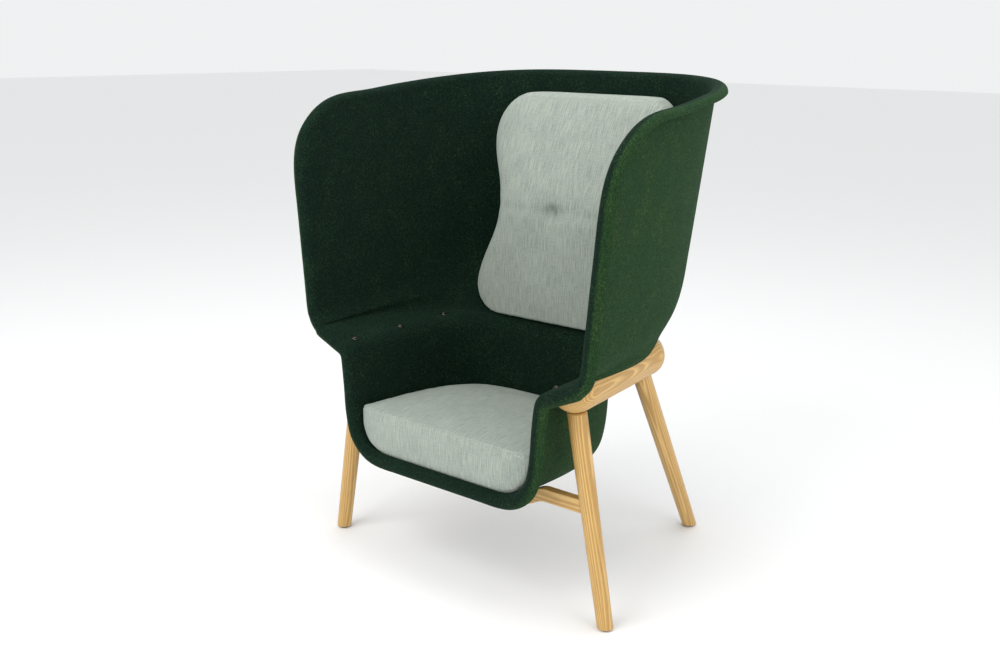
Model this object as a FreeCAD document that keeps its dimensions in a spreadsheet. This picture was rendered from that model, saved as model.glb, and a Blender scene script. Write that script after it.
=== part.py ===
import FreeCAD, Part
import Sketcher
import math
import os
from FreeCAD import Vector

# Acoustic high back lounge chair. The open front faces -Y, +X is the right side and the feet stand at
# z = 0, with the origin under the middle of the whole chair. Sizes are in millimetres and degrees.

os.makedirs("parts", exist_ok=True)
doc = FreeCAD.newDocument("lounge_chair")

# Driving dimensions
SIZES = [
    ("felt_thickness", 10), ("lip_radius", 20), ("lip_turn", 172), ("plan_squareness", 3.75),
    ("floor_height", 325), ("floor_tilt", 4.5), ("tub_half_width", 276), ("tub_reach", 468),
    ("tub_corner", 85), ("crest_half_width", 302), ("crest_reach", 490), ("crest_height", 602),
    ("crest_radius", 48), ("ledge_half_width", 423), ("ledge_height", 657), ("ledge_corner", 60),
    ("ledge_back_reach", 696), ("ledge_back_height", 696), ("ledge_back_corner", 330),
    ("rim_half_width", 471), ("rim_reach", 745), ("rim_front_height", 1213),
    ("rim_back_height", 1296), ("rim_corner", 160),
    ("rail_front_gap", 12), ("rail_length", 474), ("rail_width", 90), ("rail_front_x", 361),
    ("rail_back_x", 334), ("rail_drop", 72.5), ("rail_end", 60),
    ("rail_outer_reach", 50.5), ("rail_taper_start", 200), ("rail_fit", 0.6),
    ("leg_gap", 7), ("leg_top_diameter", 50), ("foot_diameter", 40), ("leg_chamfer", 3),
    ("front_top_x", 357), ("front_top_inset", 89), ("front_foot_x", 456), ("front_foot_inset", 96),
    ("rear_top_x", 320), ("rear_top_inset", 450), ("rear_foot_x", 341), ("rear_foot_inset", 750),
    ("tenon_diameter", 22), ("tenon_length", 34), ("bore_fit", 0.15),
    ("glide_diameter", 30), ("glide_height", 5), ("nail_diameter", 3), ("nail_length", 20),
    ("nail_head", 7), ("stretcher_depth", 24), ("stretcher_height", 36), ("stretcher_top", 329),
    ("stretcher_slope", 29), ("stretcher_bend_radius", 60), ("stretcher_edge", 3), ("stretcher_inset", 92), ("stretcher_fit", 0.3),
    ("dowel_diameter", 8), ("dowel_length", 40),
    ("screw_diameter", 6), ("screw_length", 26), ("screw_head", 12), ("screw_head_height", 3),
    ("washer_diameter", 19), ("washer_height", 2), ("insert_diameter", 10), ("insert_length", 10),
    ("insert_depth", 4), ("screw_inset", 37), ("screw_pitch", 174), ("screw_offset", 30),
    ("seat_rest", 0.3), ("seat_side_gap", 3.8), ("seat_front_gap", 5), ("seat_back_gap", 22),
    ("seat_thickness", 124), ("seat_crown", 15), ("cover_thickness", 1.5),
    ("back_rise", 14), ("back_drop", 44), ("back_low_half_width", 288), ("waist_rise", 322),
    ("waist_half_width", 212), ("back_high_half_width", 280), ("back_low_gap", 4), ("back_corner", 92),
    ("waist_swell", 16), ("back_top_depth", 138), ("patch_thickness", 3), ("patch_width", 60),
    ("patch_height", 40), ("patch_x", 80), ("patch_drop", 92), ("patch_pitch", 150),
    ("tuft_depth", 12), ("tuft_radius", 70), ("thread_diameter", 2.5),
    ("button_diameter", 22), ("button_height", 4), ("soft_gap", 0.3),
]
sheet = doc.addObject("Spreadsheet::Sheet", "Sizes")
for number, (alias, value) in enumerate(SIZES, 1):
    sheet.set(f"A{number}", alias)
    sheet.set(f"B{number}", str(value))
    sheet.setAlias(f"B{number}", alias)
doc.recompute()


def size(alias):
    return float(sheet.get(alias))


FELT = size("felt_thickness")
LIP = size("lip_radius")
FRONT = -(size("rim_reach") + LIP) / 2
TILT = math.tan(math.radians(size("floor_tilt")))
RAIL_BOTTOM = (size("crest_height") + size("ledge_height")) / 2 - size("rail_drop")
LEG_TOP = RAIL_BOTTOM - size("leg_gap")
LEG_TOP_TEXT = "((Sizes.crest_height + Sizes.ledge_height) / 2 - Sizes.rail_drop - Sizes.leg_gap)"
BACK_BOTTOM = size("crest_height") + size("back_rise")
BACK_TOP = size("rim_back_height") - size("back_drop")
WAIST = BACK_BOTTOM + size("waist_rise")
WAIST_INSET = size("crest_reach") - size("waist_swell")


def add_shape(label, shape):
    piece = doc.addObject("Part::Feature", label)
    piece.Label = label
    piece.Shape = shape
    return piece


def blend(start, end, part):
    return start + (end - start) * part


# Rounded profiles of the felt
# A profile is a chain of straight and round stretches, each a whole number of rows long, so that
# the front edge and the middle of the back can be read at the same row.
def profile(points, radii, line_rows, arc_rows):
    stretches = []
    start = points[0]
    for corner, before, after, radius, rows in zip(points[1:], points, points[2:], radii, line_rows):
        inward = (before - corner).normalize()
        onward = (after - corner).normalize()
        half = inward.getAngle(onward) / 2
        first = corner + inward * (radius / math.tan(half))
        last = corner + onward * (radius / math.tan(half))
        centre = corner + (inward + onward).normalize() * (radius / math.sin(half))
        stretches.append((rows, start, first, None))
        stretches.append((arc_rows, first, last, centre))
        start = last
    stretches.append((line_rows[-1], start, points[-1], None))
    return stretches


def profile_point(stretches, row):
    for rows, start, end, centre in stretches:
        if row <= rows or centre is None and end is stretches[-1][2]:
            break
        row -= rows
    part = row / rows
    if centre is None:
        return blend(start, end, part)
    turn = (start - centre).getAngle(end - centre)
    weights = math.sin((1 - part) * turn), math.sin(part * turn)
    return centre + ((start - centre) * weights[0] + (end - centre) * weights[1]) * (1 / math.sin(turn))


ARC_ROWS = 4
LINE_ROWS = [1, 2, 3, 7]
floor_back = size("floor_height") - size("tub_reach") * TILT
front_profile = profile(
    [Vector(size("tub_half_width") - 1.5 * size("tub_corner"), 0, size("floor_height")),
     Vector(size("tub_half_width"), 0, size("floor_height")),
     Vector(size("crest_half_width"), 0, size("crest_height")),
     Vector(size("ledge_half_width"), 0, size("ledge_height")),
     Vector(size("rim_half_width"), 0, size("rim_front_height"))],
    [size("tub_corner"), size("crest_radius"), size("ledge_corner")], LINE_ROWS, ARC_ROWS)
back_profile = profile(
    [Vector(size("tub_reach") - 1.5 * size("tub_corner"), 0, floor_back + 1.5 * size("tub_corner") * TILT),
     Vector(size("tub_reach"), 0, floor_back),
     Vector(size("crest_reach"), 0, size("crest_height")),
     Vector(size("ledge_back_reach"), 0, size("ledge_back_height")),
     Vector(size("rim_reach"), 0, size("rim_back_height"))],
    [size("tub_corner"), size("crest_radius"), size("ledge_back_corner")], LINE_ROWS, ARC_ROWS)
WING_ROW = sum(LINE_ROWS[:3]) + 3 * ARC_ROWS
RIM_ROW = WING_ROW + LINE_ROWS[3]
SIDE_COLUMNS = 12


# Inner surface of the felt
# Seen from above each row is half a squarish oval that opens to the front. The angle runs from the
# right front edge (0) round the back to the left front edge (pi).
def oval(angle, power):
    reach = (abs(math.cos(angle)) ** power + abs(math.sin(angle)) ** power) ** (-1 / power)
    return reach * math.cos(angle), reach * math.sin(angle)


def felt_point(angle, row):
    side, back = oval(angle, size("plan_squareness"))
    front_end = profile_point(front_profile, row)
    back_end = profile_point(back_profile, row)
    return Vector(front_end.x * side, FRONT + back_end.x * back, blend(front_end.z, back_end.z, back))


def felt_normal(angle, row):
    step = 0.002
    low, high = max(row - step, 0), min(row + step, RIM_ROW)
    up = felt_point(angle, high) - felt_point(angle, low)
    along = felt_point(angle + step, row) - felt_point(angle - step, row)
    return along.cross(up).normalize()


# The rounded upper front corner of the wing moves the rows and columns near it
CORNER_COLUMNS = 5


def wing_corner(column, row):
    radius = size("rim_corner")
    rise = size("rim_front_height") - profile_point(front_profile, WING_ROW).z
    arc = radius * math.pi / 4

    def front_edge(part):
        along = part * (rise - radius + arc) - (rise - radius)
        turn = max(along, 0) / radius
        height = rise - radius + (radius * math.sin(turn) if along > 0 else along)
        return radius * (1 - math.cos(turn)), height - part * rise

    def top_edge(part):
        far = math.tan(CORNER_COLUMNS * math.pi / 2 / SIDE_COLUMNS) * size("rim_reach")
        along = part * (far - radius + arc)
        turn = math.pi / 4 + min(along, arc) / radius
        back = radius * (1 - math.cos(turn)) + max(along - arc, 0)
        return back - far_of(part), radius * (math.sin(turn) - 1)

    def far_of(part):
        return math.tan(part * CORNER_COLUMNS * math.pi / 2 / SIDE_COLUMNS) * size("rim_reach")

    across, up = min(column / CORNER_COLUMNS, 1), max((row - WING_ROW) / LINE_ROWS[3], 0)
    near, high = (1 - across) ** 2, up ** 2
    front, top, end = front_edge(up), top_edge(across), front_edge(1)
    back, height = [near * f + high * t - near * high * e for f, t, e in zip(front, top, end)]
    if across >= 1:
        back, height = 0, 0
    return back, height * LINE_ROWS[3] / rise


def grid_place(column, row):
    mirrored = column > SIDE_COLUMNS
    column = 2 * SIDE_COLUMNS - column if mirrored else column
    angle = column * math.pi / 2 / SIDE_COLUMNS
    if row > WING_ROW:
        back, rows = wing_corner(column, row)
        angle = math.atan(math.tan(min(angle, 1.5)) + back / size("rim_reach")) if back else angle
        row = row + rows
    return (math.pi - angle if mirrored else angle), row


# Smooth faces through a grid of points
def spline(points, params):
    curve = Part.BSplineCurve()
    curve.interpolate(Points=points, Parameters=params)
    return curve


def spacing(lines):
    lengths = [sum((b - a).Length for a, b in zip(pair, pair[1:])) for pair in lines]
    params = [0.0]
    for place in range(1, len(lines[0])):
        shares = [(line[place] - line[place - 1]).Length / total for line, total in zip(lines, lengths)]
        params.append(params[-1] + sum(shares) / len(shares))
    return params


def skin(grid, row_params, column_params):
    across = [spline(row, column_params) for row in grid]
    along = [spline(list(line), row_params) for line in zip(*[curve.getPoles() for curve in across])]
    surface = Part.BSplineSurface()
    surface.buildFromPolesMultsKnots(
        [curve.getPoles() for curve in along], across[0].getMultiplicities(),
        along[0].getMultiplicities(), across[0].getKnots(), along[0].getKnots(),
        False, False, across[0].Degree, along[0].Degree)
    return surface


# Both faces of the felt, and any face that follows them at a distance, share one grid of points
places = [[grid_place(column, row) for column in range(2 * SIDE_COLUMNS + 1)] for row in range(RIM_ROW + 1)]
inner = [[felt_point(*place) for place in line] for line in places]
normals = [[felt_normal(*place) for place in line] for line in places]
row_params = spacing([list(line) for line in zip(*inner)])
column_params = spacing(inner)


def felt_skin(distance):
    grid = [[point + normal * distance for point, normal in zip(points, ways)]
            for points, ways in zip(inner, normals)]
    return skin(grid, row_params, column_params)


def tangents(points):
    ways = []
    for place in range(len(points)):
        back = points[place] - points[max(place - 1, 0)]
        ahead = points[min(place + 1, len(points) - 1)] - points[place]
        if back.Length < 1e-6 or ahead.Length < 1e-6:
            ways.append((back + ahead).normalize())
        else:
            share = ahead.Length / back.Length
            ways.append((back * share + ahead * (1 / share)).normalize())
    return ways


# Felt shell: one pressed moulding, its edge rolled outward all round
def felt_shell():
    right = [(line[0], ways[0]) for line, ways in zip(inner, normals)]
    top = list(zip(inner[-1], normals[-1]))
    rim = tangents([point for point, way in right] + [point for point, way in top[1:]])
    rim[:WING_ROW] = [(felt_point(0, row + 0.002) - felt_point(0, max(row - 0.002, 0))).normalize()
                      for row in range(WING_ROW)]
    turns = [math.radians(size("lip_turn")) * step / 8 for step in range(9)]

    def lip_line(point, normal, tangent, radius):
        ahead = normal.cross(tangent).normalize()
        centre = point + normal * LIP
        return [centre + (ahead * math.sin(turn) - normal * math.cos(turn)) * radius for turn in turns]

    def lip_strip(stations, ways, radius):
        return [lip_line(point, normal, way, radius) for (point, normal), way in zip(stations, ways)]

    def mirrored(grid):
        return [[Vector(-point.x, point.y, point.z) for point in line] for line in grid]

    faces = [felt_skin(0), felt_skin(FELT)]
    ends = {}
    for radius in (LIP, LIP - FELT):
        side = lip_strip(right, rim[:RIM_ROW + 1], radius)
        half = lip_strip(top[:SIDE_COLUMNS + 1], rim[RIM_ROW:RIM_ROW + SIDE_COLUMNS + 1], radius)
        over = half + [[Vector(-p.x, p.y, p.z) for p in line] for line in half[-2::-1]]
        floor = [mirrored(side)[0], side[0]]
        ends[radius] = side, over, floor
        turn_params = [step / 8 for step in range(9)]
        faces += [skin(side, row_params, turn_params), skin(mirrored(side), row_params, turn_params),
                  skin(over, column_params, turn_params), skin(floor, [0.0, 1.0], turn_params)]
    for outside, inside, params in zip(ends[LIP], ends[LIP - FELT], (row_params, column_params, [0.0, 1.0])):
        edge = [[first[-1], last[-1]] for first, last in zip(outside, inside)]
        faces.append(skin(edge, params, [0.0, 1.0]))
        if params is row_params:
            faces.append(skin(mirrored(edge), params, [0.0, 1.0]))
    shapes = [surface.toShape() for surface in faces]
    for surface in faces[:2]:
        back_edge = surface.vIso(0).toShape()
        first, last = back_edge.firstVertex().Point, back_edge.lastVertex().Point
        wire = Part.Wire([back_edge, Part.makeLine(last, first)])
        shapes.append(Part.Face(wire))
    shell = Part.makeCompound(shapes)
    shell.sewShape()
    solid = Part.makeSolid(shell.Shells[0])
    if solid.Volume < 0:
        solid.reverse()
    return solid


# The felt at a given distance behind the front edge
def section_place(back, row):
    power = size("plan_squareness")
    share = min(back / profile_point(back_profile, row).x, 1)
    return math.atan2(share, (1 - share ** power) ** (1 / power)), row


def ledge_place(back, x):
    low, high = 0.0, float(RIM_ROW)
    for halving in range(30):
        row = (low + high) / 2
        low, high = (row, high) if felt_point(*section_place(back, row)).x < x else (low, row)
    return section_place(back, row)


def under_line(face, back):
    width = 2 * size("rim_half_width")
    cut = Part.makePlane(2 * width, 2 * width, Vector(-width, FRONT + back, width), Vector(0, -1, 0))
    points = [point for edge in face.section(cut).Edges for point in edge.discretize(400) if point.x > 0]
    return sorted(points, key=lambda point: point.x)


def height_at(line, x):
    for low, high in zip(line, line[1:]):
        if low.x <= x <= high.x:
            return blend(low.z, high.z, (x - low.x) / (high.x - low.x))
    return line[0].z


# The wall behind the sitter: how far behind the front edge the felt is at one width and height
def wall_place(x, height):
    power = size("plan_squareness")
    low, high = 2.0, float(RIM_ROW)
    for halving in range(30):
        row = (low + high) / 2
        side = min(x / profile_point(front_profile, row).x, 1)
        share = (1 - side ** power) ** (1 / power)
        ends = profile_point(front_profile, row).z, profile_point(back_profile, row).z
        low, high = (row, high) if blend(*ends, share) < height else (low, row)
    return math.atan2(share, side), row


def wall_inset(x, height):
    return felt_point(*wall_place(x, height)).y - FRONT


def rail_middle(back):
    part = (back - size("rail_front_gap")) / size("rail_length")
    return blend(size("rail_front_x"), size("rail_back_x"), part ** 2)


# Ledge screws: three a side, square to the ledge, each through a cup washer into a rail insert
def screw_seats():
    seats = []
    for place in range(3):
        back = size("screw_inset") + place * size("screw_pitch")
        where = ledge_place(back, rail_middle(back) - size("screw_offset"))
        seats.append((felt_point(*where), felt_normal(*where)))
    return seats


def turned(outline):
    points = [Vector(radius, 0, height) for radius, height in outline]
    face = Part.Face(Part.makePolygon(points + points[:1]))
    return face.revolve(Vector(0, 0, 0), Vector(0, 0, 1), 360)


def placed(shape, point, way):
    copy = shape.copy()
    copy.Placement = FreeCAD.Placement(point, FreeCAD.Rotation(Vector(0, 0, 1), way))
    return copy


def ledge_set(outline, depth):
    shape = turned(outline)
    return [placed(shape, point + way * depth, way) for point, way in screw_seats()]


def mirror(shape):
    return shape.mirror(Vector(0, 0, 0), Vector(1, 0, 0))


def pair(label, shapes):
    shape = Part.makeCompound(shapes) if len(shapes) > 1 else shapes[0]
    add_shape(label + "_right", shape)
    add_shape(label + "_left", mirror(shape))


shank = size("screw_diameter") / 2
head = size("screw_head") / 2
over_felt = size("washer_height") + 2 * size("soft_gap")
screw_outline = [(0, -size("screw_head_height")), (head * 0.6, -size("screw_head_height")),
                 (head, -size("screw_head_height") / 3), (head, 0), (shank, 0),
                 (shank, size("screw_length") - shank), (0, size("screw_length"))]
washer = size("washer_diameter") / 2
hole = shank + size("bore_fit")
washer_outline = [(hole, 0), (washer * 0.8, 0), (washer, size("washer_height") * 0.7),
                  (washer, size("washer_height")), (hole, size("washer_height"))]
insert = size("insert_diameter") / 2
insert_top = FELT + size("rail_fit") + size("insert_depth")
insert_outline = [(hole, 0), (insert, 0), (insert, size("insert_length")), (hole, size("insert_length"))]
pair("shell_screws", ledge_set(screw_outline, -over_felt))
pair("cup_washers", ledge_set(washer_outline, -size("washer_height") - size("soft_gap")))
pair("rail_inserts", ledge_set(insert_outline, insert_top))


# Legs: turned ash, tapered to the foot, cut level at both ends, with a tenon up into the rail
def leg_line(end):
    top = Vector(size(f"{end}_top_x"), FRONT + size(f"{end}_top_inset"), LEG_TOP)
    foot = Vector(size(f"{end}_foot_x"), FRONT + size(f"{end}_foot_inset"), size("glide_height"))
    return foot, top, (top - foot).normalize()


def rod(name, point, way, radius, height):
    piece = doc.addObject("Part::Cylinder", name)
    piece.setExpression("Radius", radius)
    piece.setExpression("Height", height)
    piece.Placement = FreeCAD.Placement(point, FreeCAD.Rotation(Vector(0, 0, 1), way))
    return piece


def joined(kind, name, base, tool):
    piece = doc.addObject(kind, name)
    piece.Base = base
    piece.Tool = tool
    return piece


def leg_cone(name, end, sign, extra=""):
    foot, top, way = leg_line(end)
    reach = size("leg_top_diameter")
    start = foot - way * reach
    cone = doc.addObject("Part::Cone", name)
    cone.setExpression("Radius1", "Sizes.foot_diameter / 2" + extra)
    cone.setExpression("Radius2", "Sizes.leg_top_diameter / 2" + extra)
    cone.Height = (top - foot).Length + 2 * reach
    start.x, way.x = start.x * sign, way.x * sign
    cone.Placement = FreeCAD.Placement(start, FreeCAD.Rotation(Vector(0, 0, 1), way))
    return cone


DOWEL_HEIGHT = "Sizes.stretcher_top - Sizes.stretcher_height / 2"
dowel_height = size("stretcher_top") - size("stretcher_height") / 2


def stretcher_joint(sign):
    foot, top, way = leg_line("front")
    share = (dowel_height - foot.z) / (top.z - foot.z)
    axis = blend(foot, top, share)
    radius = blend(size("foot_diameter"), size("leg_top_diameter"), share) / 2
    return Vector(sign * (axis.x - radius), axis.y, dowel_height)


def leg(label, end, sign):
    foot, top, way = leg_line(end)
    slab = doc.addObject("Part::Box", label + "_level")
    slab.Length = slab.Width = 4 * size("front_foot_x")
    slab.setExpression("Height", LEG_TOP_TEXT + " - Sizes.glide_height")
    slab.Placement.Base = Vector(-slab.Length.Value / 2, -slab.Width.Value / 2, size("glide_height"))
    post = joined("Part::Common", label + "_post", leg_cone(label + "_cone", end, sign), slab)
    doc.recompute()
    chamfer = doc.addObject("Part::Chamfer", label + "_edge")
    chamfer.Base = post
    wanted = [number for number, edge in enumerate(post.Shape.Edges, 1)
              if abs(edge.BoundBox.ZMin - LEG_TOP) < 0.01]
    chamfer.Edges = [(number, size("leg_chamfer"), size("leg_chamfer")) for number in wanted]
    way.x, top.x, foot.x = way.x * sign, top.x * sign, foot.x * sign
    depth = size("tenon_length")
    tenon = rod(label + "_tenon", top - way * depth, way, "Sizes.tenon_diameter / 2",
                "2 * Sizes.tenon_length")
    body = joined("Part::Fuse", label + "_turned", chamfer, tenon)
    nail = rod(label + "_nail_bore", foot, Vector(0, 0, 1), "Sizes.nail_diameter / 2 + Sizes.bore_fit",
               "Sizes.nail_length")
    body = joined("Part::Cut", label + "_bored", body, nail)
    if end == "front":
        start = stretcher_joint(sign)
        dowel = rod(label + "_dowel_bore", start - Vector(sign, 0, 0) * size("dowel_length"),
                    Vector(sign, 0, 0), "Sizes.dowel_diameter / 2 + Sizes.bore_fit",
                    "1.5 * Sizes.dowel_length + 1")
        body = joined("Part::Cut", label + "_socketed", body, dowel)
    body.Label = label
    return body


SIDES = [("right", 1), ("left", -1)]
legs = {f"{end}_leg_{side}": leg(f"{end}_leg_{side}", end, sign)
        for end in ("front", "rear") for side, sign in SIDES}


# Front stretcher: ash bar between the front legs, scooped to pass under the tub it carries
def terms(*parts):
    number = sum(factor * size(alias) for factor, alias in parts)
    return number, " + ".join(f"{factor} * Sizes.{alias}" for factor, alias in parts)


def stretcher():
    body = doc.addObject("PartDesign::Body", "stretcher_body")
    sketch = body.newObject("Sketcher::SketchObject", "stretcher_outline")
    plane = [item for item in body.Origin.OriginFeatures if item.Role == "XZ_Plane"][0]
    sketch.AttachmentSupport = [(plane, "")]
    sketch.MapMode = "FlatFace"
    foot, top, way = leg_line("front")
    end = foot.x + (top.x - foot.x) * (dowel_height - foot.z) / (top.z - foot.z)
    back = size("stretcher_inset") + size("stretcher_depth") / 2
    floor = size("floor_height") - back * TILT - FELT * math.hypot(1, TILT) - size("stretcher_fit")
    level, level_text = terms((1, "stretcher_top"))
    under, under_text = terms((1, "stretcher_top"), (-1, "stretcher_height"))
    scoop_text = (f"Sizes.floor_height - (Sizes.stretcher_inset + Sizes.stretcher_depth / 2) * "
                  f"tan(Sizes.floor_tilt * 1 deg) - Sizes.felt_thickness / cos(Sizes.floor_tilt * 1 deg) "
                  f"- Sizes.stretcher_fit")
    end_text = ("Sizes.front_foot_x + (Sizes.front_top_x - Sizes.front_foot_x) * "
                "(Sizes.stretcher_top - Sizes.stretcher_height / 2 - Sizes.glide_height) / "
                f"({LEG_TOP_TEXT} - Sizes.glide_height)")
    lean = math.atan2(size("crest_half_width") - size("tub_half_width"),
                      size("crest_height") - size("floor_height"))
    lean_text = ("atan((Sizes.crest_half_width - Sizes.tub_half_width) / "
                 "(Sizes.crest_height - Sizes.floor_height))")
    slope = math.radians(size("stretcher_slope"))
    round_text = "(Sizes.tub_corner + Sizes.felt_thickness + Sizes.stretcher_fit)"
    scoop = (size("tub_half_width") - size("tub_corner") / math.tan(math.pi / 4 + lean / 2)
             + (size("tub_corner") + FELT + size("stretcher_fit")) * math.tan(slope / 2))
    scoop_x_text = (f"Sizes.tub_half_width - Sizes.tub_corner / tan(45 deg + {lean_text} / 2) + "
                    f"{round_text} * tan(Sizes.stretcher_slope * 0.5 deg)")
    bend = scoop + (level - floor) / math.tan(slope)
    bend_text = f"{scoop_x_text} + (Sizes.stretcher_top - ({scoop_text})) / tan(Sizes.stretcher_slope * 1 deg)"
    height = size("stretcher_height")
    right = [(end, end_text, level, level_text), (bend, bend_text, level, level_text),
             (scoop, scoop_x_text, floor, scoop_text)]
    below = [(scoop, scoop_x_text, floor - height, scoop_text + " - Sizes.stretcher_height"),
             (bend, bend_text, under, under_text), (end, end_text, under, under_text)]
    left = [(-x, f"-({x_text})", z, z_text) for x, x_text, z, z_text in right[::-1]]
    left_below = [(-x, f"-({x_text})", z, z_text) for x, x_text, z, z_text in below[::-1]]
    corners = right + left + left_below + below
    count = len(corners)
    for number, (x, x_text, z, z_text) in enumerate(corners):
        onward = corners[(number + 1) % count]
        sketch.addGeometry(Part.LineSegment(Vector(x, z, 0), Vector(onward[0], onward[2], 0)), False)
    for number in range(count):
        sketch.addConstraint(Sketcher.Constraint("Coincident", number, 2, (number + 1) % count, 1))
    for number, (x, x_text, z, z_text) in enumerate(corners):
        for kind, value, text in (("DistanceX", x, x_text), ("DistanceY", z, z_text)):
            place = sketch.addConstraint(Sketcher.Constraint(kind, -1, 1, number, 1, value))
            sketch.setExpression(f"Constraints[{place}]", text)
    pad = body.newObject("PartDesign::Pad", "stretcher_bar")
    pad.Profile = sketch
    pad.SideType = "Symmetric"
    pad.setExpression("Length", "Sizes.stretcher_depth")
    body.Placement.Base = Vector(0, FRONT + size("stretcher_inset"), 0)
    doc.recompute()

    def corners_at(shape, x, z):
        return [f"Edge{number}" for number, edge in enumerate(shape.Edges, 1)
                if edge.BoundBox.XLength < 0.01 and edge.BoundBox.ZLength < 0.01
                and abs(abs(edge.BoundBox.XMax) - x) < 0.01 and abs(edge.BoundBox.ZMax - z) < 0.01]

    cradle = body.newObject("PartDesign::Fillet", "stretcher_cradle")
    cradle.Base = (pad, corners_at(pad.Shape, scoop, floor))
    cradle.setExpression("Radius", round_text)
    doc.recompute()
    bends = [edge for x, z in ((bend, level), (bend, under), (scoop, floor - height))
             for edge in corners_at(cradle.Shape, x, z)]
    rounds = body.newObject("PartDesign::Fillet", "stretcher_bends")
    rounds.Base = (cradle, bends)
    rounds.setExpression("Radius", "Sizes.stretcher_bend_radius")
    doc.recompute()
    sides = [f"Edge{number}" for number, edge in enumerate(rounds.Shape.Edges, 1)
             if abs(edge.BoundBox.YMax - edge.BoundBox.YMin) < 0.01
             and edge.BoundBox.XMax - edge.BoundBox.XMin > 1]
    soft = body.newObject("PartDesign::Fillet", "stretcher_soft_edges")
    soft.Base = (rounds, sides)
    soft.setExpression("Radius", "Sizes.stretcher_edge")
    body.Tip = soft
    result = body
    for side, sign in SIDES:
        cone = leg_cone("stretcher_cope_" + side, "front", sign, " + Sizes.stretcher_fit")
        result = joined("Part::Cut", "stretcher_coped_" + side, result, cone)
        start = stretcher_joint(sign)
        bore = rod("stretcher_bore_" + side, start + Vector(sign, 0, 0) * size("tenon_diameter"),
                   Vector(-sign, 0, 0), "Sizes.dowel_diameter / 2 + Sizes.bore_fit",
                   "Sizes.tenon_diameter + Sizes.dowel_length / 2 + 1")
        result = joined("Part::Cut", "stretcher_bored_" + side, result, bore)
    result.Label = "front_stretcher"
    return result


def dowels():
    pins = []
    for side, sign in SIDES:
        start = stretcher_joint(sign) - Vector(sign, 0, 0) * (size("dowel_length") / 2)
        pins.append(rod("dowel_" + side, start, Vector(sign, 0, 0), "Sizes.dowel_diameter / 2",
                        "Sizes.dowel_length"))
    group = doc.addObject("Part::Compound", "stretcher_dowels")
    group.Links = pins
    return group


stretcher()
dowels()

# Glides: a dark plastic disc under each foot, nailed up into the end grain
nail = size("nail_diameter") / 2
nail_head = size("nail_head") / 2
disc = size("glide_diameter") / 2
seat = size("glide_height") / 2
glide_fit = size("bore_fit")
glide_outline = [(nail + glide_fit, seat), (nail_head + glide_fit, seat), (nail_head + glide_fit, 0),
                 (disc - seat / 2, 0), (disc, seat / 2), (disc, size("glide_height")),
                 (nail + glide_fit, size("glide_height"))]
nail_outline = [(0, seat / 2), (nail_head, seat / 2), (nail_head, seat), (nail, seat),
                (nail, size("glide_height") + size("nail_length") - 2 * nail),
                (0, size("glide_height") + size("nail_length") - nail)]


def under_feet(outline):
    solids = []
    for end in ("front", "rear"):
        for side, sign in SIDES:
            foot = leg_line(end)[0]
            copy = turned(outline)
            copy.translate(Vector(foot.x * sign, foot.y, 0))
            solids.append(copy)
    return Part.makeCompound(solids)


add_shape("foot_glides", under_feet(glide_outline))
add_shape("glide_nails", under_feet(nail_outline))


# Side rail: solid ash with a crescent section, hollow on top to carry the felt ledge
rail_seat = felt_skin(FELT + size("rail_fit")).toShape()
RAIL_POINTS = 24
RAIL_STATIONS = 18


def rail_section(part):
    back = size("rail_front_gap") + part * size("rail_length")
    line = under_line(rail_seat, back)
    middle = rail_middle(back)
    ahead = min(back - size("rail_front_gap"), size("rail_front_gap") + size("rail_length") - back)
    round_off = 1 - max(1 - ahead / size("rail_end"), 0) ** 2
    half = size("rail_width") / 2 * blend(0.25, 1, math.sqrt(round_off))
    far = 2 * size("rail_front_gap") + size("rail_length") - size("rail_taper_start")
    taper = 1 - (max(back - size("rail_taper_start"), 0) / far) ** 2.5
    outer = size("rail_outer_reach") * math.sqrt(taper * round_off + 0.02)
    places = [middle - half + (half + outer) * step / RAIL_POINTS for step in range(RAIL_POINTS + 1)]
    top = [Vector(place, FRONT + back, height_at(line, place)) for place in places]
    fullness = blend(0.3, 1, math.sqrt(round_off))
    bottom = Vector(middle - half / 8, FRONT + back, blend(top[RAIL_POINTS // 2].z,
                                                              RAIL_BOTTOM, fullness))
    under = Part.Arc(top[-1], bottom, top[0])
    params = [step / RAIL_POINTS for step in range(RAIL_POINTS + 1)]
    return Part.Wire([spline(top, params).toShape(), under.toShape()])


def side_rail():
    parts = [(1 - math.cos(math.pi * step / RAIL_STATIONS)) / 2 for step in range(RAIL_STATIONS + 1)]
    rail = Part.makeLoft([rail_section(part) for part in parts], True, False)
    for end in ("front", "rear"):
        foot, top, way = leg_line(end)
        bore = Part.makeCylinder(size("tenon_diameter") / 2 + size("bore_fit"),
                                 size("leg_top_diameter") + size("tenon_length") + 1,
                                 top - way * size("leg_top_diameter"), way)
        rail = rail.cut(bore)
    for point, way in screw_seats():
        rail = rail.cut(Part.makeCylinder(size("insert_diameter") / 2 + size("bore_fit"),
                                          2 * FELT + size("insert_length") + 1, point - way * FELT
                                          + way * (insert_top - FELT), way))
        rail = rail.cut(Part.makeCylinder(hole, size("screw_length"), point, way))
    return rail.Solids[0] if len(rail.Solids) == 1 else rail


rail = side_rail()
add_shape("side_rail_right", rail)
add_shape("side_rail_left", mirror(rail))

felt = felt_shell()
for point, way in screw_seats():
    drill = Part.makeCylinder(hole, 4 * FELT, point - way * 2 * FELT, way)
    felt = felt.cut(drill).cut(mirror(drill))
add_shape("felt_shell", felt.Solids[0])


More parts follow.
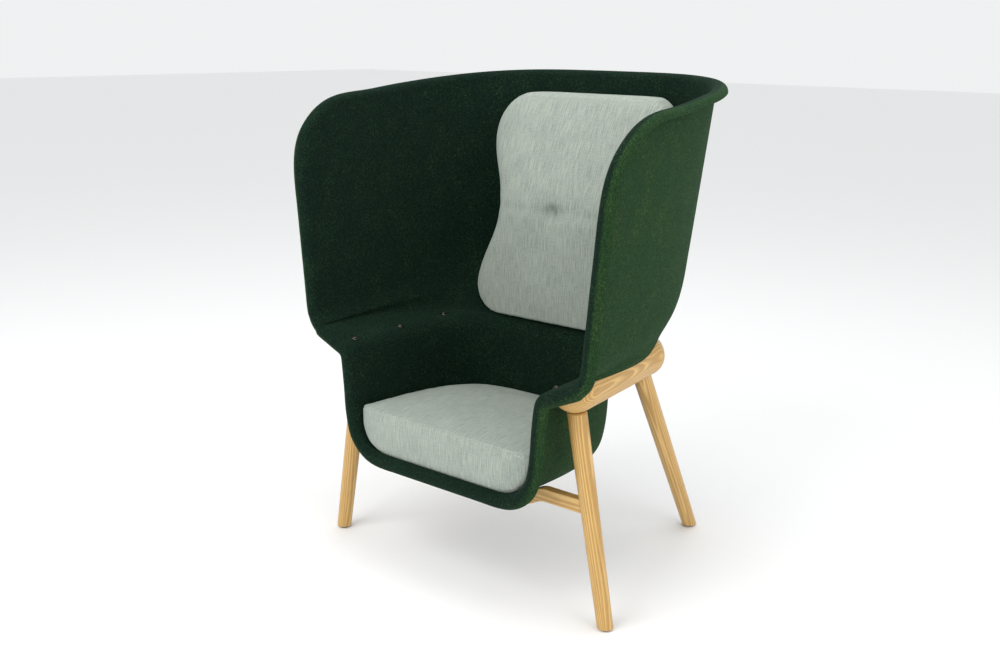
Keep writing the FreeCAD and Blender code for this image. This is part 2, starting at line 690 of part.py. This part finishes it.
# Closed cushion forms: smooth skins through level loops, with flat faces at the two ends
def skinned(loops):
    params = spacing([list(line) for line in zip(*loops)]), spacing(loops)
    surface = skin(loops, *params)
    shapes = [surface.toShape()]
    for edge in (surface.vIso(0), surface.vIso(1)):
        shapes.append(Part.Face(Part.Wire([edge.toShape()])))
    shell = Part.makeCompound(shapes)
    shell.sewShape()
    solid = Part.makeSolid(shell.Shells[0])
    if solid.Volume < 0:
        solid.reverse()
    return solid


# Seat cushion: boxed foam in a sewn cover, shaped to the tub, with a crowned top
LOOP_STEPS = 48
FRONT_POWER = 7


def seat_loop(height, inset, front):
    slope = math.radians(size("floor_tilt"))
    share = height / (size("crest_height") - size("floor_height"))
    half = blend(size("tub_half_width"), size("crest_half_width"), share) - inset - size("seat_side_gap")
    depth = blend(size("tub_reach"), size("crest_reach"), share) - inset - size("seat_back_gap")
    start = size("seat_front_gap") + front
    widest = start + 0.16 * half
    points = []
    for step in range(LOOP_STEPS + 1):
        turn = 2 * math.pi * step / LOOP_STEPS - math.pi / 2
        ahead = turn < 0 or turn > math.pi
        side, back = oval(turn, FRONT_POWER if ahead else size("plan_squareness"))
        away = widest + back * ((widest - start) if ahead else (depth - widest))
        points.append(Vector(side * half, FRONT + away * math.cos(slope) + height * math.sin(slope),
                             size("floor_height") - away * math.sin(slope) + height * math.cos(slope)))
    return points


def seat_form(skin_depth):
    corner, full = size("tub_corner"), size("seat_thickness")
    low = size("seat_rest") + skin_depth
    loops = []
    for part in (0, 0.06, 0.16, 0.33, 0.6, 1):
        height = blend(low, corner, part)
        drop = corner - height
        inset = corner - math.sqrt(max(corner ** 2 - drop ** 2, 0)) + skin_depth
        loops.append(seat_loop(height, inset, skin_depth + 12 * (1 - part) ** 6))
    loops.append(seat_loop(full - 10 - skin_depth, skin_depth, skin_depth))
    for part in (0, 0.06, 0.18, 0.4, 0.7, 1):
        inset = 2 + 170 * part + skin_depth
        height = full - skin_depth - 2 + size("seat_crown") * math.sin(part * math.pi / 2) ** 0.8
        loops.append(seat_loop(height, inset, inset - 2))
    return skinned(loops)


# Back cushion: waisted foam in a sewn cover, filling the hollow of the back, tufted at the waist
SIDE_POWER = 5


def swell(share):
    return math.sin(min(share, 1) * math.pi / 2) ** 2


def back_loop(part, skin_depth):
    low, waist, high = BACK_BOTTOM, WAIST, BACK_TOP
    height = blend(low + skin_depth, high - skin_depth, part)
    if height < waist:
        share = (waist - height) / (waist - low)
        half = blend(size("waist_half_width"), size("back_low_half_width"), swell(share * 1.35))
        front = blend(WAIST_INSET, size("crest_reach") - size("back_low_gap"), share ** 1.2)
    else:
        share = (height - waist) / (high - waist)
        half = blend(size("waist_half_width"), size("back_high_half_width"), swell(share * 1.5))
        front = blend(WAIST_INSET, size("rim_reach") - size("back_top_depth"), share ** 1.15)
        front += 10 * share ** 16
    corner = size("back_corner")
    beyond = max(corner - min(height - low, high - height), 0)
    half -= corner - math.sqrt(corner ** 2 - beyond ** 2) + skin_depth
    patches = 2 * size("patch_thickness") + 5 * size("soft_gap")
    gap = blend(4, patches, min((height - low) / 120, 1)) + skin_depth
    points = []
    for step in range(LOOP_STEPS + 1):
        turn = 2 * math.pi * step / LOOP_STEPS - math.pi / 2
        ahead = turn < 0 or turn > math.pi
        side, back = oval(turn, FRONT_POWER if ahead else SIDE_POWER)
        near = front + skin_depth + 14 * min((height - low) / 120, 1) * abs(side) ** 6
        far = wall_inset(abs(side) * (half + skin_depth), height) - gap
        points.append(Vector(side * half, FRONT + blend(near, far, (back + 1) / 2), height))
    return points


def back_form(skin_depth):
    parts = (0, 0.004, 0.015, 0.035, 0.07, 0.12, 0.2, 0.3, 0.4, 0.47, 0.5, 0.53, 0.6, 0.7, 0.8, 0.88,
             0.93, 0.965, 0.985, 0.996, 1)
    return skinned([back_loop(part, skin_depth) for part in parts])


seat_cover, seat_foam = seat_form(0), seat_form(size("cover_thickness"))
add_shape("seat_cushion_cover", seat_cover.cut(seat_foam))
add_shape("seat_cushion_foam", seat_foam)

# The tuft: a thread through the waist draws the front in and is held by a button behind
waist = WAIST
tuft_front = FRONT + WAIST_INSET + size("tuft_depth")
back_face = FRONT + wall_inset(0, waist) - 2 * size("patch_thickness") - 5 * size("soft_gap")
tuft_ball = Vector(0, tuft_front - size("tuft_radius"), waist)
skin_depth = size("cover_thickness")
thread = size("thread_diameter") / 2
backward = Vector(0, 1, 0)
thread_bore = Part.makeCylinder(thread + size("bore_fit"), 2 * size("rim_reach"), tuft_ball, backward)
back_cover = back_form(0).cut(Part.makeSphere(size("tuft_radius"), tuft_ball))
back_foam = back_form(skin_depth).cut(Part.makeSphere(size("tuft_radius") + skin_depth, tuft_ball))
back_cover = back_cover.cut(back_foam).cut(thread_bore)
back_foam = back_foam.cut(thread_bore)
button = size("button_diameter") / 2
button_seat = back_face + 4 * size("soft_gap")
button_outline = [(thread + size("bore_fit"), 0), (button, 0), (button, size("button_height") / 2),
                  (button * 0.6, size("button_height")), (thread + size("bore_fit"), size("button_height"))]
knot = [(0, -1.2), (2 * thread, -1.2), (2 * thread, -size("soft_gap")), (thread, -size("soft_gap")),
        (thread, button_seat + size("button_height") - tuft_front), (0, button_seat
        + size("button_height") - tuft_front)]
add_shape("back_cushion_cover", back_cover)
add_shape("back_cushion_foam", back_foam)
add_shape("tuft_thread", placed(turned(knot), Vector(0, tuft_front, waist), backward))
add_shape("tuft_button", placed(turned(button_outline), Vector(0, button_seat, waist), backward))


# Hook patches glued to the felt and loop patches sewn to the back cushion hold it to the shell
def patches(depth):
    solids = []
    high = BACK_TOP - size("patch_drop")
    for height in (high - size("patch_pitch"), high):
        for sign in (1, -1):
            place = wall_place(size("patch_x"), height)
            point, normal = felt_point(*place), felt_normal(*place)
            across = Vector(0, 0, 1).cross(normal).normalize()
            upward = normal.cross(across)
            start = (point - normal * depth - across * (size("patch_width") / 2)
                     - upward * (size("patch_height") / 2))
            corners = [start, start + across * size("patch_width"),
                       start + across * size("patch_width") + upward * size("patch_height"),
                       start + upward * size("patch_height")]
            patch = Part.Face(Part.makePolygon(corners + corners[:1])).extrude(
                normal * -size("patch_thickness"))
            solids.append(patch if sign > 0 else mirror(patch))
    return Part.makeCompound(solids)


add_shape("back_hook_patches", patches(2 * size("soft_gap")))
add_shape("back_loop_patches", patches(3 * size("soft_gap") + size("patch_thickness")))

# Every object and every finished piece is sound before anything is written
NODES = ["felt_shell", "side_rail_right", "side_rail_left", "front_leg_right", "front_leg_left",
         "rear_leg_right", "rear_leg_left", "front_stretcher", "stretcher_dowels", "foot_glides",
         "glide_nails", "shell_screws_right", "shell_screws_left", "cup_washers_right",
         "cup_washers_left", "rail_inserts_right", "rail_inserts_left", "seat_cushion_cover",
         "seat_cushion_foam", "back_cushion_cover", "back_cushion_foam", "tuft_thread", "tuft_button",
         "back_hook_patches", "back_loop_patches"]
doc.recompute()
for item in doc.Objects:
    if "Invalid" in item.State or "Error" in item.State:
        raise RuntimeError(f"{item.Label} did not rebuild")
pieces = {label: doc.getObjectsByLabel(label)[0].Shape for label in NODES}
for label, shape in pieces.items():
    if shape.isNull() or not shape.isValid() or not shape.Solids:
        raise RuntimeError(f"{label} is not a sound solid")
for label, shape in pieces.items():
    shape.exportStep(f"parts/{label}.step")
    print(label, len(shape.Solids), round(shape.Volume))
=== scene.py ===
import bpy
import bmesh
import math
from mathutils import Matrix, Vector, kdtree, noise


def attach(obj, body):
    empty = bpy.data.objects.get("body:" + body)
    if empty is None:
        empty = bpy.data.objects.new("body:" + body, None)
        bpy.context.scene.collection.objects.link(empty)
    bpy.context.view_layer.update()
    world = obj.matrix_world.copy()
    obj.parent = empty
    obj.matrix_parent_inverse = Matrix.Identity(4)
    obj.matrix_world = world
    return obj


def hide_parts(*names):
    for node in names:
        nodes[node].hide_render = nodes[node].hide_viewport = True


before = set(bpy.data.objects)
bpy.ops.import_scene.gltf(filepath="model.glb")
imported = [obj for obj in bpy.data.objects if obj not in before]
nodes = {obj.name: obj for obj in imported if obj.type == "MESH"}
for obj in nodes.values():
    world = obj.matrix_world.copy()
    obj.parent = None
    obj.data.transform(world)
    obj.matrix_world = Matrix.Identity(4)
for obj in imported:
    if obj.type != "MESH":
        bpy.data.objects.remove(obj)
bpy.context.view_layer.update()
scene = bpy.context.scene

# Camera: one standing view from the chair's front right, a little above it. Its place and lens come from
# the room's lines and the chair's own symmetry.
focal_length = 38.27
camera_place = (1.663, -2.3015, 1.410)
ahead = Vector((-0.5856, 0.7641, -0.2704)).normalized()
level = Vector((0.7937, 0.6083, 0.0)).normalized()
roll = math.radians(0.65)
upright = level.cross(ahead)
right = level * math.cos(roll) + upright * math.sin(roll)
upward = upright * math.cos(roll) - level * math.sin(roll)
lens = bpy.data.cameras.new("camera")
lens.sensor_width = 36.0
lens.lens = focal_length
camera = bpy.data.objects.new("camera", lens)
scene.collection.objects.link(camera)
turn = Matrix((right, upward, -ahead)).transposed().to_4x4()
camera.matrix_world = Matrix.Translation(camera_place) @ turn
scene.camera = camera
scene.view_settings.view_transform = "Standard"

# Felt shell: the tub, ledge, wings and back are one pressed moulding of matted fibre, about 10 mm thick,
# with its edge rolled out all round. Its shape is the imported solid's own. The face toward the sitter is
# painted near black green, mostly painted shade inside the tub; the face away is a lighter moss green with
# more yellow flecks, mostly painted light.
class Field:
    def __init__(self, tree, socket):
        self.tree = tree
        self.socket = socket

    def node(self, kind, inputs, output=0, **settings):
        made = self.tree.nodes.new(kind)
        for key, value in settings.items():
            setattr(made, key, value)
        for key, value in inputs.items():
            if isinstance(value, Field):
                self.tree.links.new(value.socket, made.inputs[key])
            else:
                made.inputs[key].default_value = value
        return Field(self.tree, made.outputs[output])

    def maths(self, operation, first, second):
        return self.node("ShaderNodeMath", {0: first, 1: second}, operation=operation)

    def __add__(self, other):
        return self.maths("ADD", self, other)

    def __sub__(self, other):
        return self.maths("SUBTRACT", self, other)

    def __rsub__(self, other):
        return self.maths("SUBTRACT", other, self)

    def __mul__(self, other):
        return self.maths("MULTIPLY", self, other)

    def __truediv__(self, other):
        return self.maths("DIVIDE", self, other)

    def __pow__(self, other):
        return self.maths("POWER", self, other)

    __radd__ = __add__
    __rmul__ = __mul__

    def band(self, low, high):
        ends = {"Value": self, "From Min": low, "From Max": high}
        return self.node("ShaderNodeMapRange", ends, interpolation_type="SMOOTHSTEP")

    def mix(self, first, second):
        return self.node("ShaderNodeMix", {0: self, 6: first, 7: second}, 2, data_type="RGBA")

    def scaled(self, x, y, z):
        return self.node("ShaderNodeVectorMath", {0: self, 1: (x, y, z)}, operation="MULTIPLY")

    def moved(self, other):
        return self.node("ShaderNodeVectorMath", {0: self, 1: other}, operation="ADD")

    def along(self, way):
        return self.node("ShaderNodeVectorMath", {0: self, 1: tuple(way)}, "Value", operation="DOT_PRODUCT")

    def noise(self, scale, detail=2.0, roughness=0.5, output="Fac"):
        ends = {"Vector": self, "Scale": scale, "Detail": detail, "Roughness": roughness}
        return self.node("ShaderNodeTexNoise", ends, output)

    def packed(self, x, y, z):
        return self.node("ShaderNodeCombineXYZ", {0: x, 1: y, 2: z})


def start(name, layer=None):
    material = bpy.data.materials.new(name)
    material.use_nodes = True
    field = Field(material.node_tree, None)
    if layer:
        place = field.node("ShaderNodeUVMap", {}, uv_map=layer)
    else:
        place = field.node("ShaderNodeTexCoord", {}, "Object")
    return material, place


def colour(red, green, blue):
    return (red, green, blue, 1.0)


def finish(material, base, height=None, depth=0.0, rough=0.8, **constants):
    shader = material.node_tree.nodes["Principled BSDF"]
    links = material.node_tree.links
    for socket, value in (("Base Color", base), ("Roughness", rough)):
        if isinstance(value, Field):
            links.new(value.socket, shader.inputs[socket])
        else:
            shader.inputs[socket].default_value = value
    if height:
        bump = height.node("ShaderNodeBump", {"Height": height, "Distance": depth, "Strength": 1.0})
        links.new(bump.socket, shader.inputs["Normal"])
    for socket, value in constants.items():
        shader.inputs[socket.replace("_", " ")].default_value = value
    return material


def wear(node, material):
    mesh = nodes[node].data
    mesh.materials.clear()
    mesh.materials.append(material)


rim_front = 0.37


def felt_material():
    material, place = start("pressed_felt")
    facing = place.node("ShaderNodeTexCoord", {}, "Normal")
    radial = place.moved((0.0, rim_front, 0.0)).scaled(1.0, 1.0, 0.0)
    # Painted shade and light: this mask picks the face away from the sitter, painted lighter as if lit,
    # against the inner face, painted darker as if in shade.
    painted_light_mask = radial.node("ShaderNodeVectorMath", {0: radial, 1: facing}, "Value",
                          operation="DOT_PRODUCT").band(0.0, 0.22)
    bend = place.noise(60.0, 1.0, 0.5, "Color")
    loose = place.moved(bend.scaled(0.012, 0.012, 0.012))
    hairs = loose.scaled(1.0, 1.0, 0.22).noise(620.0, 3.0, 0.65)
    across = loose.scaled(0.35, 0.35, 1.0).noise(520.0, 2.0, 0.6)
    clouds = place.noise(14.0, 3.0, 0.6)
    tufts = loose.scaled(1.0, 1.0, 0.4).noise(360.0, 2.0, 0.7) + (clouds - 0.5) * 0.3
    flecks = tufts.band(0.56, 0.70)
    # Painted shade: these near black inner colours stand mostly for the shade inside the tub.
    dark = hairs.band(0.40, 0.66).mix(colour(0.0012, 0.0055, 0.0035), colour(0.004, 0.017, 0.010))
    painted_shade_inner = across.band(0.52, 0.70).mix(dark, colour(0.008, 0.030, 0.017))
    painted_shade_inner = (flecks * 0.6).mix(painted_shade_inner, colour(0.026, 0.056, 0.020))
    # Painted light: these lighter moss colours stand mostly for the light on the outside of the shell.
    moss = hairs.band(0.40, 0.66).mix(colour(0.006, 0.022, 0.008), colour(0.017, 0.052, 0.016))
    painted_light_outer = across.band(0.52, 0.70).mix(moss, colour(0.028, 0.068, 0.022))
    painted_light_outer = (flecks * 0.55).mix(painted_light_outer, colour(0.075, 0.108, 0.026))
    # Painted shade inside and painted light outside, chosen by which way each face turns.
    base = painted_light_mask.mix(painted_shade_inner, painted_light_outer)
    height = hairs * 0.6 + across * 0.4
    return finish(material, base, height, 0.0012, 0.95, Sheen_Weight=0.05, Sheen_Roughness=0.5,
                  Sheen_Tint=colour(0.25, 0.60, 0.35), Specular_IOR_Level=0.12)


wear("felt_shell", felt_material())

# Side rails: solid ash crescents under the ledge, one a side. They are glued to the tenons of the legs
# and screwed up to the felt. The grain runs along the rail, with growth rings and long pores.
rings_per_metre = 210.0


def ash_material(name, origin, way, pith):
    material, place = start(name)
    way = Vector(way).normalized()
    side = way.cross(Vector((0.31, 0.87, 0.38))).normalized()
    other = way.cross(side)
    point = place.moved(tuple(-Vector(origin)))
    length, left, front = point.along(way), point.along(side), point.along(other)
    drift = point.packed(left, front, length * 0.10).noise(22.0, 2.0, 0.5)
    wave = point.packed(left, front, length * 0.25).noise(9.0, 1.0, 0.5)
    from_pith = ((left - pith[0]) ** 2.0 + (front - pith[1]) ** 2.0) ** 0.5
    ring = from_pith * rings_per_metre + drift * 2.2 + wave * 3.0
    late = ring.maths("FRACT", ring, 0.0)
    line = late.band(0.0, 0.55) * (1.0 - late.band(0.86, 1.0))
    pores = point.packed(left, front, length * 0.018).noise(1500.0, 2.0, 0.6).band(0.56, 0.70)
    streak = point.packed(left, front, length * 0.03).noise(260.0, 3.0, 0.6)
    pale = streak.band(0.3, 0.7).mix(colour(0.74, 0.49, 0.19), colour(0.62, 0.38, 0.115))
    warm = (line * 0.75).mix(pale, colour(0.42, 0.225, 0.05))
    base = (pores * (0.25 + line * 0.4)).mix(warm, colour(0.28, 0.14, 0.035))
    height = streak * 0.4 - pores * 0.6
    return finish(material, base, height, 0.0003, 0.46 - streak * 0.08, Coat_Weight=0.08,
                  Coat_Roughness=0.35)


for side, sign in (("right", 1), ("left", -1)):
    grain = ash_material(f"ash_rail_{side}", (sign * 0.35, 0.0, 0.60), (-0.05 * sign, 1.0, 0.03),
                         (0.05 * sign, -0.09))
    wear(f"side_rail_{side}", grain)

# Legs: four turned ash legs, a little tapered, splayed at the front and raked at the rear. Each has its
# own run of grain from foot to neck.
for side, sign in (("right", 1), ("left", -1)):
    ends = {"front": ((0.456, -0.2865, 0.005), (0.357, -0.2935, 0.55), (0.035, 0.02)),
            "rear": ((0.341, 0.3675, 0.005), (0.320, 0.0675, 0.55), (-0.05, 0.045))}
    for end, (foot, top, pith) in ends.items():
        base = Vector((foot[0] * sign, foot[1], foot[2]))
        way = Vector((top[0] * sign, top[1], top[2])) - base
        wear(f"{end}_leg_{side}", ash_material(f"ash_{end}_{side}", base, way, pith))

# Front stretcher: an ash bar scooped to pass under the tub, dowelled into both front legs. Bar and
# dowels have their own grain.
wear("front_stretcher", ash_material("ash_stretcher", (0, -0.29, 0.32), (1, 0, 0), (0.04, 0.06)))
wear("stretcher_dowels", ash_material("ash_dowels", (0, -0.29, 0.327), (1, 0, 0), (0.01, 0.02)))

# Glides: a thin dark plastic disc under each foot, moulded and scuffed by the floor. A steel nail holds
# each one.
def metal_material(name, tone, rough):
    material, place = start(name)
    wear = place.noise(700.0, 3.0, 0.6)
    base = wear.band(0.35, 0.7).mix(tone, colour(*[0.55 * part for part in tone[:3]]))
    return finish(material, base, wear, 0.0001, rough + wear * 0.15, Metallic=1.0)


def plastic_material(name, tone):
    material, place = start(name)
    grain = place.noise(1400.0, 2.0, 0.5)
    scuffs = place.noise(160.0, 4.0, 0.7).band(0.5, 0.75)
    base = (scuffs * 0.5).mix(tone, colour(*[0.12 + part for part in tone[:3]]))
    return finish(material, base, grain, 0.00015, 0.55 + scuffs * 0.2)


wear("foot_glides", plastic_material("glide_plastic", colour(0.02, 0.02, 0.02)))
wear("glide_nails", metal_material("nail_steel", colour(0.5, 0.5, 0.5), 0.35))

# Shell screws: three a side on dark cup washers on top of the ledge, turned into threaded inserts of zinc
# in the rails.
screw_metal = metal_material("dark_bronze", colour(0.10, 0.095, 0.08), 0.28)
for side in ("right", "left"):
    wear(f"shell_screws_{side}", screw_metal)
    wear(f"cup_washers_{side}", screw_metal)
    wear(f"rail_inserts_{side}", metal_material(f"insert_{side}", colour(0.6, 0.6, 0.58), 0.3))

# Hook and loop patches: two strips behind the back cushion, one sewn to its cover and one stuck to the
# felt, with a short dense pile.
def tape_material():
    material, place = start("hook_loop")
    pile = place.noise(900.0, 2.0, 0.8)
    base = pile.band(0.4, 0.65).mix(colour(0.01, 0.012, 0.011), colour(0.05, 0.055, 0.05))
    return finish(material, base, pile, 0.001, 0.95)


for node in ("back_hook_patches", "back_loop_patches"):
    wear(node, tape_material())

# Seat cushion: a boxed foam block in a sewn cover of uneven upright threads over finer cross threads.
# It lies loose in the tub, its top crowned. The foam is filled with cloth under pressure, held along its
# sewn edges, and each seam, where a face turns away from its panel, is then drawn in.
threads_per_metre = 1150.0


def cover_material(name, layer):
    material, place = start(name, layer)
    warp = place.scaled(1.0, 0.035, 1.0).noise(900.0, 3.0, 0.7)
    weft = place.scaled(0.05, 1.0, 1.0).noise(800.0, 3.0, 0.7)
    slub = place.scaled(1.0, 0.045, 1.0).noise(430.0, 2.0, 0.6)
    bars = place.scaled(0.07, 1.0, 1.0).noise(420.0, 2.0, 0.6)
    melange = place.noise(420.0, 2.0, 0.6)
    broad = place.noise(9.0, 2.0, 0.5)
    tone = warp * 0.40 + weft * 0.22 + slub * 0.26 + bars * 0.12 + (melange - 0.5) * 0.3
    plain = tone.band(0.36, 0.64).mix(colour(0.235, 0.272, 0.240), colour(0.43, 0.475, 0.42))
    tinted = (slub.band(0.50, 0.66) * 0.7).mix(plain, colour(0.43, 0.465, 0.375))
    shade = broad.band(0.3, 0.7).mix(colour(0.93, 0.93, 0.93), colour(1.0, 1.0, 1.0))
    base = tinted.node("ShaderNodeMix", {0: 1.0, 6: tinted, 7: shade}, 2, data_type="RGBA",
                       blend_type="MULTIPLY")
    pace = threads_per_metre * math.pi
    grid = (place.along((pace, 0, 0)), place.along((0, pace, 0)))
    waves = [wave.maths("SINE", wave, 0.0) for wave in grid]
    height = waves[0] * waves[0] * 0.25 + waves[1] * waves[1] * 0.25 + tone * 0.6
    return finish(material, base, height, 0.0006, 0.9, Sheen_Weight=0.18, Sheen_Roughness=0.5,
                  Sheen_Tint=colour(0.9, 1.0, 0.92), Specular_IOR_Level=0.2)


cloth_mesh_size = 0.006
cloth_frames = 20
cloth_pressure = 3.0
held_width = 0.008
puckers_per_metre = 160.0


def seam_tree(mesh, way, limit):
    facing = [vertex.normal.dot(way) - limit for vertex in mesh.vertices]
    places = []
    for edge in mesh.edges:
        first, second = edge.vertices
        if facing[first] * facing[second] < 0:
            share = facing[first] / (facing[first] - facing[second])
            places.append(mesh.vertices[first].co.lerp(mesh.vertices[second].co, share))
    tree = kdtree.KDTree(len(places))
    for number, place in enumerate(places):
        tree.insert(place, number)
    tree.balance()
    return tree


def use_only(piece):
    bpy.ops.object.select_all(action="DESELECT")
    piece.select_set(True)
    bpy.context.view_layer.objects.active = piece


def apply_all(piece):
    use_only(piece)
    for modifier in list(piece.modifiers):
        bpy.ops.object.modifier_apply(modifier=modifier.name)


def padded_form(name, node):
    mesh = nodes[node].data.copy()
    form = bmesh.new()
    form.from_mesh(mesh)
    bmesh.ops.remove_doubles(form, verts=form.verts, dist=1e-5)
    bmesh.ops.recalc_face_normals(form, faces=form.faces)
    form.to_mesh(mesh)
    form.free()
    mesh.materials.clear()
    piece = bpy.data.objects.new(name, mesh)
    scene.collection.objects.link(piece)
    remesh = piece.modifiers.new("remesh", "REMESH")
    remesh.mode = "VOXEL"
    remesh.voxel_size = cloth_mesh_size
    apply_all(piece)
    return piece


def inflate(piece, held, most):
    rest = [(vertex.co.copy(), vertex.normal.copy()) for vertex in piece.data.vertices]
    weights = [held(place, way) for place, way in rest]
    group = piece.vertex_groups.new(name="held")
    for number, weight in enumerate(weights):
        group.add([number], weight, "REPLACE")
    cloth = piece.modifiers.new("cloth", "CLOTH")
    cloth.settings.vertex_group_mass = "held"
    cloth.settings.use_pressure = True
    cloth.settings.uniform_pressure_force = cloth_pressure
    cloth.settings.effector_weights.gravity = 0.0
    cloth.settings.quality = 5
    cloth.point_cache.frame_start = 1
    cloth.point_cache.frame_end = cloth_frames
    for number in range(1, cloth_frames + 1):
        scene.frame_set(number)
    apply_all(piece)
    scene.frame_set(1)
    for vertex, (place, way) in zip(piece.data.vertices, rest):
        out = max((vertex.co - place).dot(way), 0.0)
        vertex.co = place + way * min(out, most(way))


def smoothed(piece):
    divide = piece.modifiers.new("divide", "SUBSURF")
    divide.levels = 1
    divide.render_levels = 1
    apply_all(piece)


def draw_in(piece, tree, width, depth, pucker):
    ways = [vertex.normal.copy() for vertex in piece.data.vertices]
    for vertex, way in zip(piece.data.vertices, ways):
        place, number, away = tree.find(vertex.co)
        if away < width:
            share = (1.0 - (away / width) ** 2) ** 2
            gather = 1.0 + pucker * noise.noise(place * puckers_per_metre)
            vertex.co -= way * depth * share * gather


def weave_layer(piece, panel_way, limit, plan):
    mesh = piece.data
    layer = mesh.uv_layers.new(name="weave")
    for face in mesh.polygons:
        panel = face.normal.dot(panel_way) > limit
        for loop in face.loop_indices:
            place = mesh.vertices[mesh.loops[loop].vertex_index].co
            if panel or abs(face.normal.dot(panel_way)) > 0.8:
                layer.data[loop].uv = plan(place)
            elif abs(face.normal.x) > 0.75:
                layer.data[loop].uv = (place.y, place.z)
            else:
                layer.data[loop].uv = (place.x, place.z)
    for face in mesh.polygons:
        face.use_smooth = True


cover = cover_material("woven_cover", "weave")
drawn_forward = 0.017
widened = 0.012
dropped = 0.003
seat_seam_width = 0.006
seat = padded_form("seat_cushion", "seat_cushion_foam")
top = Vector((0, -0.08, 1)).normalized()
for vertex in seat.data.vertices:
    ahead_share = min(max((0.05 - vertex.co.y) / 0.40, 0.0), 1.0)
    vertex.co.y -= drawn_forward * ahead_share
    vertex.co.x *= 1.0 + widened * ahead_share
    vertex.co.z -= dropped * ahead_share
seat_seams = [seam_tree(seat.data, way, limit) for way, limit in ((top, 0.30), (-top, 0.55))]
inflate(seat, lambda place, normal: max(
    0.0, 1.0 - min(tree.find(place)[2] for tree in seat_seams) / held_width) ** 0.5,
    lambda way: 0.0035 + 0.0045 * max(way.z, 0.0))
smoothed(seat)
for tree, depth in zip(seat_seams, (0.0024, 0.0014)):
    draw_in(seat, tree, seat_seam_width, depth, 0.7)
weave_layer(seat, top, 0.5, lambda place: (place.x, place.y))
seat.data.materials.append(cover)
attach(seat, "root")
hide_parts("seat_cushion_cover", "seat_cushion_foam")

# Back cushion: the same cover on a waisted foam, sewn round its front edge. It is creased across the
# waist and drawn back at its middle by a tuft thread with a small button behind.
crease_depth = 0.0038
dimple_depth = 0.0075
fold_depth = 0.003


def hump(away, width):
    return math.exp(-((away / width) ** 2))


back = padded_form("back_cushion", "back_cushion_foam")
front = Vector((0, -1, 0))
back_seams = [seam_tree(back.data, way, 0.45) for way in (front, -front)]
tuft = Vector((0, 0.1035, 0.938))
inflate(back, lambda place, normal: max(
    1.0 - min(tree.find(place)[2] for tree in back_seams) / held_width,
    1.0 - abs(place.z - tuft.z) / 0.02 if normal.y < 0 else 0.0,
    1.0 - (place - tuft).length / 0.03, 0.0) ** 0.5,
    lambda way: 0.0035 + 0.0045 * max(-way.y, 0.0) if way.y < 0.3 else 0.0)
smoothed(back)
draw_in(back, back_seams[0], 0.007, 0.0026, 1.2)
facing = [vertex.normal.y for vertex in back.data.vertices]
for vertex, face_way in zip(back.data.vertices, facing):
    place = vertex.co.copy()
    if face_way < 0.2:
        wave = 0.004 * noise.noise(Vector((place.x * 9.0, 0.0, 3.0)))
        crease = hump(place.z - tuft.z - wave, 0.016)
        near = (Vector((place.x, place.z)) - Vector((tuft.x, tuft.z))).length
        fold = hump(place.x, 0.006) * hump(place.z - tuft.z - 0.022, 0.022)
        dimple = hump(near, 0.014) + 0.5 * hump(near, 0.045)
        vertex.co.y += crease_depth * crease + dimple_depth * dimple + fold_depth * fold
weave_layer(back, front, 0.4, lambda place: (place.x, place.z))
back.data.materials.append(cover)
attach(back, "root")
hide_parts("back_cushion_cover", "back_cushion_foam")
small_cover = cover_material("woven_cover_small", None)
wear("tuft_thread", small_cover)
wear("tuft_button", small_cover)

# Floor: a plain pale floor that the chair stands on, wide enough to meet the background. It stands in
# for the studio and isn't part of the chair.
floor = bpy.data.meshes.new("floor")
form = bmesh.new()
bmesh.ops.create_grid(form, x_segments=1, y_segments=1, size=30.0)
form.to_mesh(floor)
form.free()
ground = bpy.data.objects.new("floor", floor)
scene.collection.objects.link(ground)
pale, place = start("floor_pale")
floor.materials.append(finish(pale, colour(0.92, 0.92, 0.915), rough=0.7))

# Background and light: a pale studio with three broad soft lamps. Rays that see the background, directly,
# by reflection or through a surface, get its own tone.
world = bpy.data.worlds.new("studio")
scene.world = world
world.use_nodes = True
rays = world.node_tree.nodes.new("ShaderNodeLightPath")
seen = Field(world.node_tree, rays.outputs["Is Camera Ray"])
surface = world.node_tree.nodes["Background"]
surface.inputs["Strength"].default_value = 1.0
glossy = Field(world.node_tree, rays.outputs["Is Glossy Ray"])
through = Field(world.node_tree, rays.outputs["Is Transmission Ray"])
shown = seen.maths("MAXIMUM", seen.maths("MAXIMUM", seen, glossy), through)
tone = shown.mix(colour(0.84, 0.85, 0.86), colour(0.87, 0.88, 0.885))
world.node_tree.links.new(tone.socket, surface.inputs["Color"])


def lamp(name, place, target, width, power):
    light = bpy.data.lights.new(name, "AREA")
    light.shape = "RECTANGLE"
    light.size = width
    light.size_y = width
    light.energy = power
    holder = bpy.data.objects.new(name, light)
    scene.collection.objects.link(holder)
    holder.location = place
    holder.rotation_euler = (Vector(target) - Vector(place)).to_track_quat("-Z", "Y").to_euler()


lamp("key", (-0.6, -3.2, 3.4), (0, 0, 0.6), 2.6, 85)
lamp("fill", (3.4, -0.6, 2.2), (0, 0, 0.7), 2.4, 30)
lamp("top", (0.2, 0.4, 4.0), (0, 0, 0.6), 3.0, 40)
